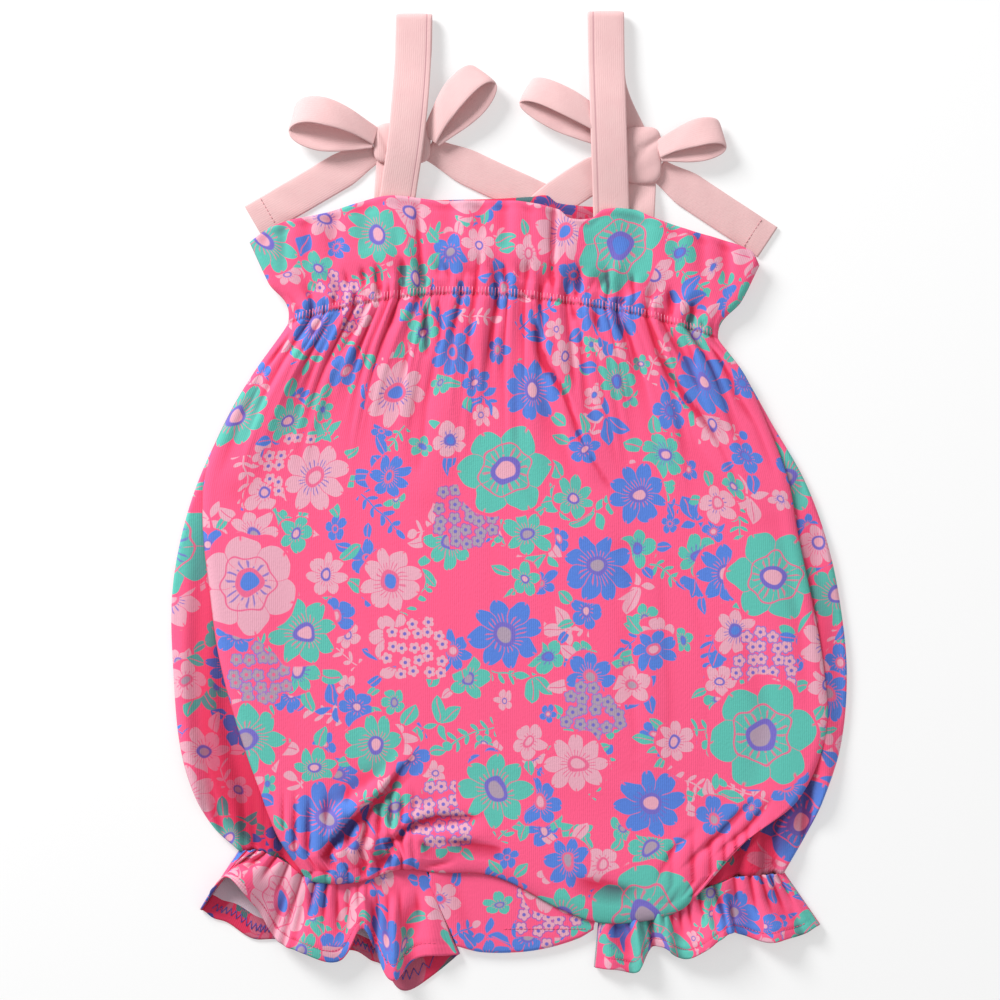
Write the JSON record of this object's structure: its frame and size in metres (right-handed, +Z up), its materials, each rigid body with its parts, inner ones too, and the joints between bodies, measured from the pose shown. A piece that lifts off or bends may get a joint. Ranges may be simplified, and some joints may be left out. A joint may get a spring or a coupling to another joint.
{
  "type": "baby romper",
  "caption": "Sleeveless bubble romper in floral jersey with a gathered chest, paper-bag frill, ruffled legs and bow-tied straps, laid flat.",
  "frame": {"origin": "centre of the bounding box in plan, on the surface that the romper lies on", "axes": "+Y from the legs to the neck, +X to the right of somebody who looks down on the front, +Z up off the surface"},
  "size_m": [0.2844, 0.4108, 0.0109],
  "materials": {
    "floral_jersey": "soft printed cotton jersey, matte",
    "pink_strap": "plain pale pink jersey, matte"
  },
  "bodies": {
    "root": {"front_panel": "floral_jersey", "back_panel": "floral_jersey", "crotch_band": "floral_jersey", "left_leg_ruffle": "floral_jersey", "right_leg_ruffle": "floral_jersey", "left_front_strap": "pink_strap", "left_back_strap": "pink_strap", "left_knot": "pink_strap", "left_outer_loop": "pink_strap", "left_inner_loop": "pink_strap", "left_outer_end": "pink_strap", "left_inner_end": "pink_strap", "right_front_strap": "pink_strap", "right_back_strap": "pink_strap", "right_knot": "pink_strap", "right_outer_loop": "pink_strap", "right_inner_loop": "pink_strap", "right_outer_end": "pink_strap", "right_inner_end": "pink_strap"}
  },
  "joints": []
}
